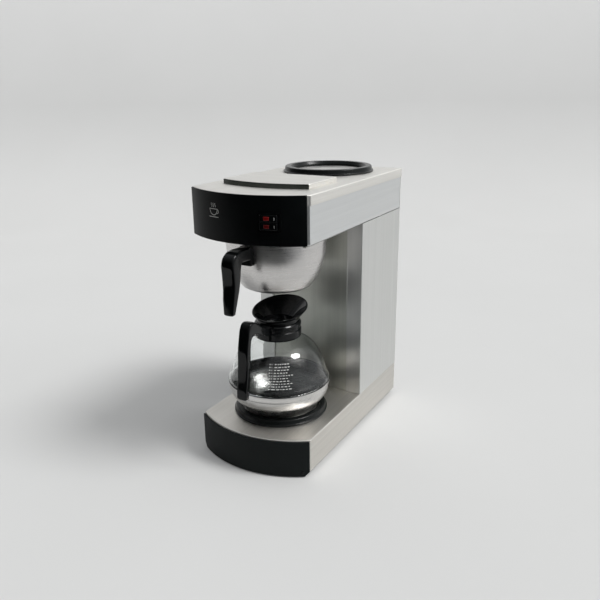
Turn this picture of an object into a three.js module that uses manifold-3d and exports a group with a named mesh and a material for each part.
// Pour-over drip coffee maker with two hot plates, a slide-in brew basket and a glass jug.
// Millimetres, +Z up, front towards -Y, X = 0 is the mirror plane of the housing.
import * as THREE from 'three';
import { mergeVertices } from 'three/addons/utils/BufferGeometryUtils.js';
import Module from 'manifold-3d';

const wasm = await Module();
wasm.setup();

// ---------------------------------------------------------------- driving dimensions
const gap = 0.3;                  // clearance between pieces that touch
const sheet = 1;                  // steel sheet thickness
const bodyWidth = 204;            // across the side panels
const bodyDepth = 345.5;          // from the fascia's side corners to the back
const bodyHeight = 434;           // from the side panels' lower edge to the top
const fasciaBulge = 33.6;         // how far the curved front stands out at its middle
const fasciaThickness = 3;
const footHeight = 9.5;             // below the side panels' lower edge
const footRadius = 11;
const footInset = 24;             // foot centre from the housing's sides and back
const frontFootY = 30;

const baseHeight = 54.3;
const baseFasciaDrop = 8;         // fascia reaches below the side panels
const baseFasciaChamfer = 8;
const baseFasciaTopDrop = 2;     // its top edge stays below the base's rolled edge
const baseFasciaInset = 1.5;     // at each side
const bottomPlateZ = 3;

const columnDepth = 163.5;        // from the side flanges' front face to the back
const columnFlangeInner = 74;     // where the flanges stop beside the recessed panel
const columnPanelRecess = 2.5;
const columnFlangeLip = 5;

const headHeight = 72;
const headFasciaInset = 1.5;      // at each side
const skirtHeight = 15.3;         // the top cover's sides, lapped over the head shell
const fillOpeningHalf = 62;       // half width of the water opening in the top cover
const fillOpeningFront = 62;
const fillOpeningBack = 126;

const lidHalf = 77;
const lidFrontCorner = 49;
const lidFrontMiddle = 33;
const lidBack = 138;
const lidHeight = 8;
const lidWall = 1.2;
const lidLipDepth = 7;            // locating lip below the top cover's surface
const lidLipClearance = 1;

const plateRadius = 62.7;         // steel hot plate disc
const plateThickness = 1.7;
const ringWidth = 16;             // from the disc's edge to the ring's outer foot
const ringHeight = 10;
const ringSlope = 3.5;            // inward lean of the ring's outer side
const ringLand = 9.5;               // flat top land of the ring
const lowerPlateY = 80;
const upperPlateFromBack = 88.5;
const heaterOuter = 46;
const heaterInner = 28;
const heaterDepth = 10;
const heaterHole = 50;            // hole in the sheet above each heater
const thermostatRadius = 8;

const tankHalf = 70;
const tankFront = 42;
const tankBack = 160;
const tankWall = 1.2;
const tankFloorAboveHead = 15;

const basketY = 77.5;
const basketRimDrop = 6.8;        // rim below the head's underside
const basketRadius = 80;
const basketFlangeWidth = 4;
const basketDepth = 83.2;
const basketBottomRadius = 50;
const basketWall = 1;
const basketOutletRadius = 5;
const insertWall = 1.2;
const insertRimClearance = 7;     // from the bowl's outside to the insert's rim
const insertFootRadius = 42;
const insertTopDrop = 4;          // insert's rim below the bowl's rim
const basketHandleWidth = 20;
const basketMountReach = 7.3;     // the mount's front face ahead of the bowl
const basketMountDrop = 31;       // the mount's lower edge below the rim
const basketMountHeight = 29;

const railThickness = 1.2;
const railFlange = 9;
const railFront = 20;
const railRunClearance = 0.8;

const jugY = 76.5;
const jugSeamHeight = 55;         // above the jug's foot
const jugRadius = 85;             // at the seam of glass and steel base
const jugFootRadius = 53;
const glassWall = 2;
const jugBaseWall = 1.2;
const neckRadius = 31;            // outer radius of the glass neck
const neckTopHeight = 146;
const collarRadius = 38.5;
const collarBottomHeight = 129.5;
const collarHeight = 26;
const funnelRimRadius = 46;
const funnelHeight = 18.6;        // from the collar's top to the rim's centre
const funnelShift = 7.2;          // the rim's centre behind the jug's axis
const funnelTilt = 0.22;          // rise per millimetre towards the back
const funnelWall = 2.5;
const funnelThroat = 27;
const funnelWaist = 35;
const jugHandleWidth = 18;
const collarScrewRadius = 3;
const collarScrewHead = 1.6;
const collarScrewLift = 5.6;      // above the collar's lower edge
const collarScrewBearing = THREE.MathUtils.degToRad(31);   // from straight ahead towards -X

const switchOffset = 53;          // along X from the mirror plane
const switchZ = 396.7;
const bezelBorder = 2;            // flange beyond the sleeve at each side
const bezelEdge = 1.3;            // flange beyond the sleeve above and below
const bezelFlange = 1.8;
const sleeveWall = 0.8;
const sleeveDepth = 12;
const rockerEndClearance = 1.2;
const rockerSideClearance = 0.4;
const rockerLength = 26.4;
const rockerHeight = 10;
const windowRib = 0.6;            // wall between the two windows
const rockerDepth = 6;
const rockerPivotDepth = 2;
const rockerTilt = THREE.MathUtils.degToRad(8);
const lensLength = 9;
const lensHeight = 6;
const lensOffset = -3;
const lensRecess = 1;
const lensStand = 0.4;
const switchBodyWidth = 26;
const switchBodyDepth = 15;

const roundSteps = 40;            // facets round a turned piece
const arcSteps = 24;              // facets along a curved front

// ---------------------------------------------------------------- derived places
const half = bodyWidth / 2;
const skirtLap = sheet + gap;
const frontRadius = (half * half + fasciaBulge * fasciaBulge) / (2 * fasciaBulge);
const frontCentreY = frontRadius - fasciaBulge;
const columnFront = bodyDepth - columnDepth;
const headBottom = bodyHeight - headHeight;
const ringOuter = plateRadius + gap + ringWidth;
const upperPlateY = bodyDepth - upperPlateFromBack;
const basketRimZ = headBottom - basketRimDrop;
const basketBottomZ = basketRimZ - basketDepth;
const basketFlange = basketRadius + basketFlangeWidth;
const basketFlangeTop = basketRimZ + basketWall;
const lowerPlateTop = baseHeight + gap + plateThickness;
const jugFootZ = lowerPlateTop + gap;
const jugSeamZ = jugFootZ + jugSeamHeight;
const neckTopZ = jugFootZ + neckTopHeight;
const collarBottomZ = jugFootZ + collarBottomHeight;
const collarTopZ = collarBottomZ + collarHeight;
const funnelRimZ = collarTopZ + funnelHeight;
const windowWidth = rockerLength + 2 * rockerEndClearance;
const windowHeight = rockerHeight + 2 * rockerSideClearance;
const rockerPitch = windowHeight + windowRib;
const sleeveWidth = windowWidth + 2 * sleeveWall;
const sleeveHeight = 2 * windowHeight + windowRib + 2 * sleeveWall;
const bezelWidth = sleeveWidth + 2 * bezelBorder;
const bezelHeight = sleeveHeight + 2 * bezelEdge;
const tankFloor = headBottom + tankFloorAboveHead;
const shellFront = fasciaThickness + gap;

// ---------------------------------------------------------------- materials
function finish(color, roughness, metalness, extra = {}) {
  return new THREE.MeshStandardMaterial({ color, roughness, metalness, ...extra });
}
const brushedSteel = finish(0xb8b6ae, 0.38, 1);
const dullSteel = finish(0x9a9a94, 0.5, 1);
const spunSteel = finish(0xc8c6c2, 0.28, 1);
const blackGloss = finish(0x0b0c0d, 0.22, 0);
const blackSatin = finish(0x101213, 0.45, 0);
const rubber = finish(0x17181a, 0.85, 0);
const aluminium = finish(0xa9abad, 0.45, 1);
const silicone = finish(0xd8d4cb, 0.6, 0);
const brass = finish(0xb59a5a, 0.4, 1);
const cream = finish(0xd9d3c2, 0.55, 0);
const clearGlass = finish(0xdfe6e4, 0.05, 0, { transparent: true, opacity: 0.35 });
const redLens = finish(0x8a1212, 0.2, 0);

// ---------------------------------------------------------------- solids
const machine = new THREE.Group();

function solid(geometry) {
  const bare = geometry.clone();
  bare.deleteAttribute('normal');
  bare.deleteAttribute('uv');
  const merged = mergeVertices(bare, 1e-4);
  const index = merged.index.array;
  const kept = [];
  for (let i = 0; i < index.length; i += 3) {
    const [a, b, c] = [index[i], index[i + 1], index[i + 2]];
    if (a !== b && b !== c && c !== a) kept.push(a, b, c);
  }
  const vertProperties = new Float32Array(merged.attributes.position.array);
  return new wasm.Manifold(new wasm.Mesh({ numProp: 3, vertProperties, triVerts: new Uint32Array(kept) }));
}

function geometryOf(body) {
  const mesh = body.getMesh();
  const geometry = new THREE.BufferGeometry();
  geometry.setAttribute('position', new THREE.BufferAttribute(new Float32Array(mesh.vertProperties), 3));
  geometry.setIndex(new THREE.BufferAttribute(new Uint32Array(mesh.triVerts), 1));
  geometry.computeVertexNormals();
  return geometry;
}

function piece(name, body, material, group = machine) {
  const mesh = new THREE.Mesh(geometryOf(body), material);
  mesh.name = name;
  group.add(mesh);
  return mesh;
}

// Box from its lowest to its highest corner.
function block(x0, y0, z0, x1, y1, z1) {
  const geometry = new THREE.BoxGeometry(x1 - x0, y1 - y0, z1 - z0);
  geometry.translate((x0 + x1) / 2, (y0 + y1) / 2, (z0 + z1) / 2);
  return solid(geometry);
}

// An XY outline raised from z0 to z1.
function prism(shape, z0, z1, curveSegments = arcSteps) {
  const geometry = new THREE.ExtrudeGeometry(shape, { depth: z1 - z0, bevelEnabled: false, curveSegments });
  geometry.translate(0, 0, z0);
  return solid(geometry);
}

// A (y, z) outline spread to both sides of the mirror plane.
function sidePlate(shape, width, curveSegments = 3) {
  const geometry = new THREE.ExtrudeGeometry(shape, { depth: width, bevelEnabled: false, curveSegments });
  geometry.translate(0, 0, -width / 2);
  geometry.applyMatrix4(new THREE.Matrix4().set(0, 0, 1, 0, 1, 0, 0, 0, 0, 1, 0, 0, 0, 0, 0, 1));
  return solid(geometry);
}

// A turned piece about a vertical axis at (0, y); the (r, z) profile runs anticlockwise.
function turned(profile, y = 0, steps = roundSteps) {
  const geometry = new THREE.LatheGeometry(profile.map(([r, z]) => new THREE.Vector2(r, z)), steps);
  geometry.rotateX(Math.PI / 2);
  geometry.translate(0, y, 0);
  return solid(geometry);
}

function ringProfile(inner, outer, z0, z1) {
  return [[inner, z0], [outer, z0], [outer, z1], [inner, z1], [inner, z0]];
}

function discProfile(radius, z0, z1) {
  return [[0, z0], [radius, z0], [radius, z1], [0, z1]];
}

// The same outline moved inwards by a wall thickness, for the inside of a turned shell.
// The two ends stay level where the wall is steep, and straight above where it is flat.
function inset(profile, wall) {
  const last = profile.length - 1;
  return profile.map(([r, z], i) => {
    const [r0, z0] = profile[Math.max(i - 1, 0)];
    const [r1, z1] = profile[Math.min(i + 1, last)];
    const steep = Math.abs(z1 - z0) > Math.abs(r1 - r0);
    if (i === 0 || i === last) return steep ? [r - wall, z] : [r, z + wall];
    const length = Math.hypot(r1 - r0, z1 - z0);
    return [r - wall * (z1 - z0) / length, z + wall * (r1 - r0) / length];
  });
}

// A curve from one (r, z) point to another, given as shares of the way in r and in z.
function between([r0, z0], [r1, z1], shares) {
  return shares.map(([a, b]) => [r0 + a * (r1 - r0), z0 + b * (z1 - z0)]);
}

function shellProfile(outer, wall) {
  return [...outer, ...inset(outer, wall).reverse(), outer[0]];
}

// The housing seen from above: straight sides and back, one arc for the front.
function planOutline(sideInset, frontInset, backInset) {
  const halfWidth = half - sideInset;
  const radius = frontRadius - frontInset;
  const reach = Math.asin(halfWidth / radius);
  const shape = new THREE.Shape();
  shape.absarc(0, frontCentreY, radius, -Math.PI / 2 - reach, -Math.PI / 2 + reach, false);
  shape.lineTo(halfWidth, bodyDepth - backInset);
  shape.lineTo(-halfWidth, bodyDepth - backInset);
  shape.closePath();
  return shape;
}

function polygon(points) {
  return new THREE.Shape(points.map(([x, y]) => new THREE.Vector2(x, y)));
}

// A tube of the given radii along a list of points.
function tube(points, radius, bore, steps) {
  const section = new THREE.Shape();
  section.absarc(0, 0, radius, 0, 2 * Math.PI, false);
  const hole = new THREE.Path();
  hole.absarc(0, 0, bore, 0, 2 * Math.PI, true);
  section.holes.push(hole);
  const path = new THREE.CatmullRomCurve3(points.map((p) => new THREE.Vector3(...p)), false, 'centripetal');
  return solid(new THREE.ExtrudeGeometry(section, { steps, extrudePath: path, curveSegments: 4 }));
}

// ---------------------------------------------------------------- base
function glandHole() {
  const geometry = new THREE.CylinderGeometry(glandRadius + gap, glandRadius + gap, 4 * sheet, 24);
  geometry.translate(glandX, bodyDepth, glandZ);
  return solid(geometry);
}

const glandRadius = 7;
const glandX = -70;
const glandZ = 26;
const glandFlange = 10;
const glandLength = 9;
const cableWayHalf = 60;          // opening between base, column and head for hoses and wires
const cableWayFront = columnFront + 8;
const cableWayBack = bodyDepth - 15.5;

function cableWay(z) {
  return block(-cableWayHalf, cableWayFront, z - 2, cableWayHalf, cableWayBack, z + 2);
}

function addBase() {
  const top = baseHeight;
  const inner = prism(planOutline(sheet, sheet, sheet), -1, top - sheet);
  const shell = prism(planOutline(0, 0, 0), 0, top)
    .subtract(inner)
    .subtract(turned(discProfile(heaterHole, top - 2 * sheet, top + 1), lowerPlateY))
    .subtract(cableWay(top))
    .subtract(glandHole());
  piece('base_shell', shell, brushedSteel);

  const plateInset = sheet + gap;
  let plate = prism(planOutline(plateInset, plateInset, plateInset), bottomPlateZ, bottomPlateZ + sheet);
  const slots = 7;
  for (let i = 0; i < slots; i += 1) {
    const y = 110 + i * 22;
    plate = plate.subtract(block(-45, y, 0, 45, y + 6, bottomPlateZ + 2 * sheet));
  }
  piece('base_bottom_plate', plate, dullSteel);

  const z0 = -baseFasciaDrop;
  const z1 = top - baseFasciaTopDrop;
  const side = half - baseFasciaInset;
  const cut = baseFasciaChamfer;
  const front = polygon([[-side + cut, z0], [side - cut, z0], [side, z0 + cut], [side, z1],
    [-side, z1], [-side, z0 + cut]]);
  const fasciaWindow = new THREE.ExtrudeGeometry(front, { depth: 2 * fasciaBulge + 10, bevelEnabled: false });
  fasciaWindow.rotateX(Math.PI / 2);
  fasciaWindow.translate(0, fasciaBulge, 0);
  const band = frontBand(0, -shellFront, z0, z1);
  piece('base_fascia', band.intersect(solid(fasciaWindow)), blackSatin);

  const sideX = half - footInset;
  const backY = bodyDepth - footInset;
  const feet = { foot_front_left: [-sideX, frontFootY], foot_front_right: [sideX, frontFootY],
    foot_rear_left: [-sideX, backY], foot_rear_right: [sideX, backY] };
  for (const [name, [x, y]] of Object.entries(feet)) {
    const profile = [[0, -footHeight], [footRadius - 2, -footHeight], [footRadius, -footHeight + 2],
      [footRadius, bottomPlateZ - gap], [0, bottomPlateZ - gap]];
    piece(name, turned(profile, 0, 24), rubber).position.set(x, y, 0);
  }
}

// The curved front sheet, between two heights.
function frontBand(sideInset, frontInset, z0, z1) {
  const outer = prism(planOutline(sideInset, frontInset, 0), z0, z1);
  return outer.subtract(prism(planOutline(sideInset - 1, frontInset + fasciaThickness, -1), z0 - 1, z1 + 1));
}

// ---------------------------------------------------------------- hot plates
function addHotPlate(level, y, z) {
  const seat = z + gap;
  const face = seat + plateThickness;
  const rim = [[0, seat], [plateRadius, seat], [plateRadius, face - 0.5], [plateRadius - 0.5, face], [0, face]];
  piece(`${level}_hotplate`, turned(rim, y), spunSteel);

  const inner = plateRadius + gap;
  const top = seat + ringHeight;
  const land = ringOuter - ringSlope;
  const ring = [[inner, seat], [ringOuter, seat], [ringOuter, seat + 2], [ringOuter - 1, top - 3], [land, top],
    [land - ringLand, top], [inner, top - 4], [inner, seat]];
  piece(`${level}_plate_ring`, turned(ring, y), blackGloss);

  piece(`${level}_plate_heater`, turned(ringProfile(heaterInner, heaterOuter, z - heaterDepth, z), y), aluminium);
  piece(`${level}_thermostat`, turned(discProfile(thermostatRadius, z - heaterDepth, z), y, 20), aluminium);
}

// ---------------------------------------------------------------- column
function addColumn() {
  const z0 = baseHeight + gap;
  const z1 = headBottom - gap;
  const back = bodyDepth - sheet - gap;
  const lipBack = columnFront + columnFlangeLip;
  for (const [name, side] of [['column_left_panel', -1], ['column_right_panel', 1]]) {
    const outline = [[half, columnFront], [half, back], [half - sheet, back], [half - sheet, columnFront + sheet],
      [columnFlangeInner + sheet, columnFront + sheet], [columnFlangeInner + sheet, lipBack],
      [columnFlangeInner, lipBack], [columnFlangeInner, columnFront]].map(([x, y]) => [side * x, y]);
    piece(name, prism(polygon(outline), z0, z1), brushedSteel);
  }
  const panelHalf = columnFlangeInner - gap;
  const panelY = columnFront + columnPanelRecess;
  piece('column_front_panel', block(-panelHalf, panelY, z0, panelHalf, panelY + sheet, z1), brushedSteel);

  const coverTop = bodyHeight - skirtHeight - gap;
  let cover = block(-half, bodyDepth - sheet, z0, half, bodyDepth, coverTop);
  const rows = 9;
  for (let i = 0; i < rows; i += 1) {
    const z = 100 + i * 12;
    for (const x of [-42, 42]) {
      cover = cover.subtract(block(x - 28, bodyDepth - 2 * sheet, z, x + 28, bodyDepth + 1, z + 4));
    }
  }
  piece('back_cover', cover, brushedSteel);
}

// ---------------------------------------------------------------- head
const switchAngle = Math.asin(switchOffset / frontRadius);

// Runs work in a group whose -Y axis points straight out of the fascia at the switches.
function switchFrame() {
  const group = new THREE.Group();
  group.position.set(switchOffset, frontCentreY - frontRadius * Math.cos(switchAngle), switchZ);
  group.rotation.z = switchAngle;
  group.updateMatrix();
  return group;
}

function switchCut(width, height) {
  const geometry = new THREE.BoxGeometry(width, 40, height);
  geometry.applyMatrix4(switchFrame().matrix);
  return solid(geometry);
}

function addHead() {
  const back = sheet + gap;
  const shellTop = bodyHeight - sheet - gap;
  const cavity = prism(planOutline(sheet, shellFront + sheet, -1), headBottom + sheet, bodyHeight);
  const shell = prism(planOutline(0, shellFront, back), headBottom, shellTop)
    .subtract(cavity)
    .subtract(turned(discProfile(sprayRadius + gap, headBottom - 1, headBottom + 2 * sheet), basketY, 24))
    .subtract(cableWay(headBottom + sheet / 2))
    .subtract(switchCut(bezelWidth, bezelHeight));
  piece('head_shell', shell, brushedSteel);

  const top = bodyHeight;
  const skirtBottom = top - skirtHeight;
  const under = prism(planOutline(-gap, -1, -gap), skirtBottom - 1, top - sheet);
  const cover = prism(planOutline(-skirtLap, shellFront, -skirtLap), skirtBottom, top)
    .subtract(under)
    .subtract(block(-fillOpeningHalf, fillOpeningFront, top - 2, fillOpeningHalf, fillOpeningBack, top + 1))
    .subtract(turned(discProfile(heaterHole, top - 2, top + 1), upperPlateY));
  piece('top_cover', cover, brushedSteel);

  const fascia = frontBand(headFasciaInset, 0, headBottom, top).subtract(switchCut(sleeveWidth + 1, sleeveHeight + 1));
  piece('head_fascia', fascia, blackSatin);
}

// ---------------------------------------------------------------- water path
const sprayRadius = 20;
const sprayDrop = 1;              // spray head's face below the head's underside
const sprayHeight = 14;
const hoseRadius = 6;
const hoseBore = 4;
const riserRadius = 4.5;
const riserBore = 3.2;
const hoseX = -38;
const riserX = 38;
const tankOutletZ = tankFloor + 10;
const heaterLevel = 24;           // centre height of the flow heater in the base
const heaterFrontY = columnFront + 30;
const heaterBackY = bodyDepth - 77.5;
const flowHeaterWidth = 16;
const flowHeaterHeight = 22;

function addWaterPath() {
  const rim = bodyHeight - sheet - gap;
  const inside = block(-tankHalf + tankWall, tankFront + tankWall, tankFloor + tankWall,
    tankHalf - tankWall, tankBack - tankWall, rim + 1);
  const outlet = new THREE.CylinderGeometry(hoseBore, hoseBore, 4 * tankWall, 16);
  outlet.translate(hoseX, tankBack, tankOutletZ);
  const tank = block(-tankHalf, tankFront, tankFloor, tankHalf, tankBack, rim).subtract(inside).subtract(solid(outlet));
  piece('water_tank', tank, dullSteel);

  const valveTop = heaterLevel + flowHeaterHeight / 2 + gap + 14;
  const hoseY = heaterFrontY;
  const midHeight = (valveTop + tankOutletZ) / 2;
  const hose = tube([[hoseX, tankBack + gap, tankOutletZ], [hoseX, tankBack + 18, tankOutletZ],
    [hoseX, hoseY - 12, tankOutletZ - 6], [hoseX, hoseY, tankOutletZ - 30], [hoseX, hoseY, midHeight],
    [hoseX, hoseY, valveTop + 20], [hoseX, hoseY, valveTop + gap]], hoseRadius, hoseBore, 20);
  piece('tank_hose', hose, silicone);

  const valve = turned(ringProfile(hoseBore - 1, hoseRadius + 2, valveTop - 14, valveTop), hoseY, 20);
  piece('check_valve', valve, brass).position.x = hoseX;

  const bar = new THREE.Shape();
  const out = riserX + flowHeaterWidth / 2;
  const inn = riserX - flowHeaterWidth / 2;
  bar.moveTo(-out, heaterFrontY - 8);
  bar.lineTo(-inn, heaterFrontY - 8);
  bar.lineTo(-inn, heaterBackY);
  bar.absarc(0, heaterBackY, inn, Math.PI, 0, true);
  bar.lineTo(inn, heaterFrontY - 8);
  bar.lineTo(out, heaterFrontY - 8);
  bar.lineTo(out, heaterBackY);
  bar.absarc(0, heaterBackY, out, 0, Math.PI, false);
  bar.closePath();
  const low = heaterLevel - flowHeaterHeight / 2;
  const high = heaterLevel + flowHeaterHeight / 2;
  piece('flow_heater', prism(bar, low, high, 14), aluminium);
  piece('heater_bracket', block(-inn + gap, heaterFrontY + 20, bottomPlateZ + sheet + gap,
    inn - gap, heaterFrontY + 44, high - 4), dullSteel);
  const cutout = turned(discProfile(7, high + gap, high + gap + 8), heaterBackY, 18);
  piece('thermal_cutout', cutout, cream).position.x = riserX;

  const riserZ = headBottom + sheet + gap + riserRadius + 1;
  const riser = tube([[riserX, heaterFrontY, high + gap], [riserX, heaterFrontY, high + 30],
    [riserX, heaterFrontY, midHeight], [riserX, heaterFrontY, riserZ - 26], [riserX, heaterFrontY - 8, riserZ - 4],
    [riserX, heaterFrontY - 26, riserZ], [riserX - 12, basketY + 64, riserZ], [4, basketY + 46, riserZ],
    [0, basketY + 34, riserZ], [0, basketY + sprayRadius + 2 * gap, riserZ]], riserRadius, riserBore, 28);
  piece('riser_tube', riser, silicone);
  const sprayZ = headBottom - sprayDrop;
  piece('spray_head', turned(discProfile(sprayRadius, sprayZ, sprayZ + sprayHeight), basketY, 24), blackSatin);

  const terminalBack = bodyDepth - sheet - gap;
  piece('terminal_block', block(-30, terminalBack - 16, 12, 30, terminalBack, 32), cream);

  const flangeY = bodyDepth + gap;
  const gland = new THREE.LatheGeometry([[0, -14], [glandRadius, -14], [glandRadius, gap], [glandFlange, gap],
    [glandFlange, gap + 3], [glandRadius, gap + glandLength], [0, gap + glandLength]]
    .map(([r, y]) => new THREE.Vector2(r, y)), 20);
  gland.translate(glandX, flangeY - gap, glandZ);
  piece('cord_gland', solid(gland), blackSatin);
}

// ---------------------------------------------------------------- switches
function addSwitches() {
  const group = switchFrame();
  machine.add(group);
  const face = -gap;
  let bezel = block(-bezelWidth / 2, face - bezelFlange, -bezelHeight / 2, bezelWidth / 2, face, bezelHeight / 2)
    .add(block(-sleeveWidth / 2, face - 1, -sleeveHeight / 2, sleeveWidth / 2, sleeveDepth, sleeveHeight / 2));
  for (const row of [-1, 1]) {
    const z = row * rockerPitch / 2;
    bezel = bezel.subtract(block(-windowWidth / 2, -10, z - windowHeight / 2,
      windowWidth / 2, sleeveDepth + 1, z + windowHeight / 2));
  }
  piece('switch_bezel', bezel, blackGloss, group);

  for (const [name, row] of [['upper', 1], ['lower', -1]]) {
    const z = row * rockerPitch / 2;
    const bodyFront = sleeveDepth + gap;
    piece(`switch_body_${name}`, block(-switchBodyWidth / 2, bodyFront, z - rockerHeight / 2,
      switchBodyWidth / 2, bodyFront + switchBodyDepth, z + rockerHeight / 2), blackSatin, group);

    const rocker = new THREE.Group();
    rocker.position.set(0, rockerPivotDepth, z);
    rocker.rotation.z = -rockerTilt;
    group.add(rocker);
    const front = -rockerDepth;
    const lensLow = lensOffset - lensLength / 2;
    const lensHigh = lensOffset + lensLength / 2;
    const button = block(-rockerLength / 2, front, -rockerHeight / 2, rockerLength / 2, 2, rockerHeight / 2)
      .subtract(block(lensLow, front - 1, -lensHeight / 2, lensHigh, front + lensRecess, lensHeight / 2));
    piece(`rocker_${name}`, button, blackGloss, rocker);
    piece(`rocker_lens_${name}`, block(lensLow + gap, front - lensStand, -lensHeight / 2 + gap,
      lensHigh - gap, front + lensRecess - gap, lensHeight / 2 - gap), redLens, rocker);
  }
}

// ---------------------------------------------------------------- water lid
function lidOutline(insetBy) {
  const halfWidth = lidHalf - insetBy;
  const bulge = lidFrontCorner - lidFrontMiddle;
  const radius = (lidHalf * lidHalf + bulge * bulge) / (2 * bulge);
  const reach = Math.asin(halfWidth / (radius - insetBy));
  const shape = new THREE.Shape();
  shape.absarc(0, lidFrontMiddle + radius, radius - insetBy, -Math.PI / 2 - reach, -Math.PI / 2 + reach, false);
  shape.lineTo(halfWidth, lidBack - insetBy);
  shape.lineTo(-halfWidth, lidBack - insetBy);
  shape.closePath();
  return shape;
}

function addLid() {
  const z0 = bodyHeight + gap;
  const z1 = bodyHeight + lidHeight;
  const lipHalf = fillOpeningHalf - lidLipClearance;
  const lipFront = fillOpeningFront + lidLipClearance;
  const lipBack = fillOpeningBack - lidLipClearance;
  const lipBottom = bodyHeight - lidLipDepth;
  const lip = block(-lipHalf, lipFront, lipBottom, lipHalf, lipBack, z1 - lidWall / 2)
    .subtract(block(-lipHalf + lidWall, lipFront + lidWall, lipBottom - 1, lipHalf - lidWall, lipBack - lidWall, z1));
  const lid = prism(lidOutline(0), z0, z1)
    .subtract(prism(lidOutline(lidWall), z0 - 1, z1 - lidWall))
    .add(lip);
  piece('fill_lid', lid, brushedSteel);
}

// ---------------------------------------------------------------- brew basket
function bowlOutline() {
  const side = [[0, 0], [0.21, 0.04], [0.38, 0.125], [0.72, 0.36], [0.915, 0.6], [0.98, 0.83], [1, 1]];
  return [[basketOutletRadius, basketBottomZ],
    ...between([basketBottomRadius, basketBottomZ], [basketRadius, basketRimZ], side)];
}

function addBasketRails() {
  const webInner = basketFlange + railRunClearance;
  const lipInner = basketRadius + railRunClearance;
  const lipTop = basketRimZ - gap;
  const lipBottom = lipTop - railThickness;
  const top = headBottom - gap;
  const back = basketY + basketFlange + 2;
  for (const [name, side] of [['basket_rail_left', -1], ['basket_rail_right', 1]]) {
    const outline = [[lipInner, lipBottom], [webInner + railThickness, lipBottom],
      [webInner + railThickness, top - railThickness], [webInner + railFlange, top - railThickness],
      [webInner + railFlange, top], [webInner, top], [webInner, lipTop], [lipInner, lipTop]]
      .map(([x, z]) => [side * x, z]);
    const geometry = new THREE.ExtrudeGeometry(polygon(outline), { depth: back - railFront, bevelEnabled: false });
    geometry.rotateX(Math.PI / 2);
    geometry.translate(0, back, 0);
    piece(name, solid(geometry), dullSteel);
  }
}

function addBasket() {
  const outer = bowlOutline();
  const inner = inset(outer, basketWall).reverse();
  const flangeTop = basketFlangeTop;
  const profile = [...outer, [basketFlange, basketRimZ], [basketFlange, flangeTop],
    [basketRadius - basketWall, flangeTop], ...inner.slice(1), outer[0]];
  piece('basket_bowl', turned(profile, basketY), spunSteel);

  const foot = basketBottomZ + basketWall + gap;
  const insertRim = [basketRadius - insertRimClearance, basketRimZ - insertTopDrop];
  const cup = [[0, foot], ...between([insertFootRadius, foot], insertRim, [[0, 0], [0.32, 0.16], [0.8, 0.5], [1, 1]])];
  const cupInner = inset(cup, insertWall).reverse();
  cupInner[cupInner.length - 1][0] = 0;
  piece('filter_insert', turned([...cup, ...cupInner], basketY), dullSteel);

  const width = basketHandleWidth;
  const keepOut = [[0, basketBottomZ - 1], ...bowlOutline().map(([r, z]) => [r + gap, z]),
    [basketRadius + gap, basketRimZ + 5], [0, basketRimZ + 5]];
  const bowlFront = basketY - basketRadius;
  const mountFront = bowlFront - basketMountReach;
  const mountBottom = basketRimZ - basketMountDrop;
  const mountTop = mountBottom + basketMountHeight;
  const mount = block(-width / 2 + 1, mountFront, mountBottom, width / 2 - 1, bowlFront + 18, mountTop)
    .subtract(turned(keepOut, basketY));
  piece('basket_handle_mount', mount, dullSteel);

  // Points of the grip's outline: ahead of the bowl's front, and below the mount's top.
  const place = ([ahead, below]) => new THREE.Vector2(bowlFront - ahead, mountTop - below);
  const start = basketMountReach + gap;
  const outside = [[47.5, 5], [54, 15], [53, 31], [51.5, 49], [55, 75], [56, 90]];
  const inside = [[44.5, 71], [37.5, 51], [33.5, 35], [32, 23], [27.5, 18.5]];
  const grip = new THREE.Shape();
  grip.setFromPoints([[start, 0], [31.5, 0]].map(place));
  grip.splineThru(outside.map(place));
  grip.lineTo(...place([53.5, 92.5]));
  grip.lineTo(...place([49, 91]));
  grip.splineThru(inside.map(place));
  grip.lineTo(...place([start, 21]));
  grip.closePath();
  piece('basket_handle', sidePlate(grip, width), blackGloss);
}

// ---------------------------------------------------------------- jug
function jugBaseOutline() {
  const side = [[0.14, 0.045], [0.235, 0.136], [0.66, 0.39], [0.85, 0.61], [0.96, 0.81], [1, 1]];
  return [[jugFootRadius, jugFootZ], ...between([jugFootRadius, jugFootZ], [jugRadius, jugSeamZ], side)];
}

function glassOutline() {
  const start = [jugRadius, jugSeamZ + gap];
  const shoulder = [neckRadius, collarBottomZ + 3];
  const side = [[0, 0], [0.015, 0.05], [0.07, 0.12], [0.16, 0.325], [0.275, 0.535], [0.43, 0.71],
    [0.61, 0.825], [0.8, 0.9], [0.93, 0.945], [1, 1]];
  return [...between(start, shoulder, side), [neckRadius, neckTopZ]];
}

function addJug() {
  const foot = jugBaseOutline();
  const footInner = inset(foot, jugBaseWall);
  const footTop = jugFootZ + jugBaseWall;
  const base = [[0, jugFootZ], ...foot, ...footInner.slice(1).reverse(), [footInner[0][0], footTop], [0, footTop]];
  piece('jug_base', turned(base, jugY), spunSteel);

  piece('jug_glass', turned(shellProfile(glassOutline(), glassWall), jugY), clearGlass);

  const inner = neckRadius + gap;
  const collar = [[inner, collarBottomZ + 4], [inner + 4, collarBottomZ], [collarRadius - 1.5, collarBottomZ],
    [collarRadius, collarBottomZ + 2], [collarRadius, collarTopZ - 3], [collarRadius - 3, collarTopZ],
    [inner, collarTopZ], [inner, collarBottomZ + 4]];
  piece('jug_collar', turned(collar, jugY), blackGloss);
  addFunnel();
  addJugHandle();
}

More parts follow.
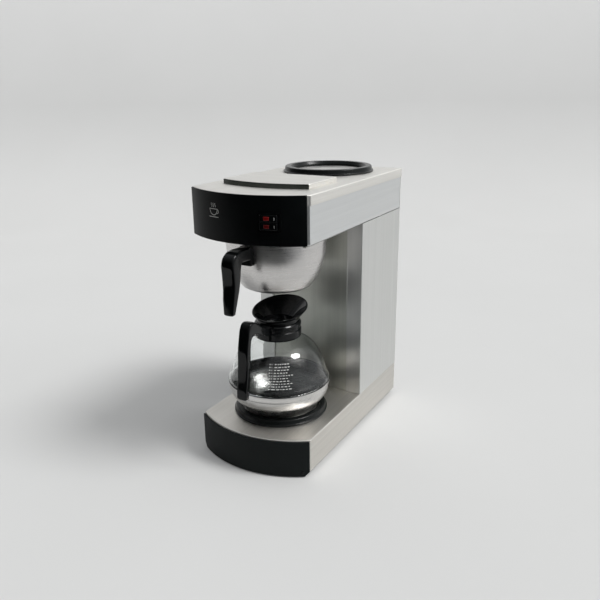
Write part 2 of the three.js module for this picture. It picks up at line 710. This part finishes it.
// The pouring funnel: a turned cone whose rim is pushed back and tipped up behind.
function addFunnel() {
  const low = collarTopZ + gap;
  const rise = funnelRimZ - low;
  const profile = [[funnelThroat, low], [funnelWaist, low], [funnelWaist + 1, low + 0.25 * rise],
    [funnelWaist + 5, low + 0.6 * rise], [funnelRimRadius - 1, low + 0.93 * rise], [funnelRimRadius, low + rise],
    [funnelRimRadius - funnelWall, low + rise], [funnelThroat + 8, low + 0.5 * rise], [funnelThroat, low]];
  const geometry = new THREE.LatheGeometry(profile.map(([r, z]) => new THREE.Vector2(r, z)), roundSteps);
  geometry.rotateX(Math.PI / 2);
  const position = geometry.attributes.position;
  for (let i = 0; i < position.count; i += 1) {
    const share = (position.getZ(i) - low) / rise;
    const y = position.getY(i);
    position.setY(i, y + share * funnelShift);
    position.setZ(i, position.getZ(i) + share * funnelTilt * y);
  }
  geometry.translate(0, jugY, 0);
  piece('jug_funnel', solid(geometry), blackGloss);
}

function addJugHandle() {
  // Points of the grip's outline: ahead of the glass's front, and below the collar's top.
  const glassFront = jugY - jugRadius;
  const place = ([ahead, below]) => new THREE.Vector2(glassFront - ahead, collarTopZ - below);
  const end = glassFront - (jugY - collarRadius + 4);
  const outside = [[14.5, -6], [19.9, 20], [21.2, 45], [24.1, 69.5], [28, 88], [27.5, 99]];
  const inside = [[18, 92], [14, 69.5], [11.2, 45], [9.9, 20], [5.5, 4]];
  const grip = new THREE.Shape();
  grip.setFromPoints([[end, 2], [-35.5, -5], [-3.5, -23], [6.5, -24]].map(place));
  grip.splineThru(outside.map(place));
  grip.lineTo(...place([21.5, 101]));
  grip.splineThru(inside.map(place));
  grip.lineTo(...place([-2.5, 0]));
  grip.lineTo(...place([end, 16]));
  grip.closePath();
  const collarKeepOut = turned(discProfile(collarRadius + gap, jugFootZ, collarTopZ + 10), jugY, roundSteps);
  piece('jug_handle', sidePlate(grip, jugHandleWidth).subtract(collarKeepOut), blackGloss);

  const head = new THREE.CylinderGeometry(collarScrewRadius, collarScrewRadius, collarScrewHead, 16);
  head.translate(0, -collarRadius - gap - collarScrewHead / 2, collarBottomZ + collarScrewLift);
  const screw = piece('jug_collar_screw', solid(head), dullSteel);
  screw.position.y = jugY;
  screw.rotation.z = -collarScrewBearing;
}

// ---------------------------------------------------------------- assembly
addBase();
addHotPlate('lower', lowerPlateY, baseHeight);
addColumn();
addHead();
addHotPlate('upper', upperPlateY, bodyHeight);
addWaterPath();
addSwitches();
addLid();
addBasketRails();
addBasket();
addJug();

// The origin is the middle of the footprint of the whole part, on the surface it stands on.
machine.updateMatrixWorld(true);
const extent = new THREE.Box3().setFromObject(machine, true);
const centre = extent.getCenter(new THREE.Vector3());
machine.position.set(-centre.x, -centre.y, -extent.min.z);

export default machine;
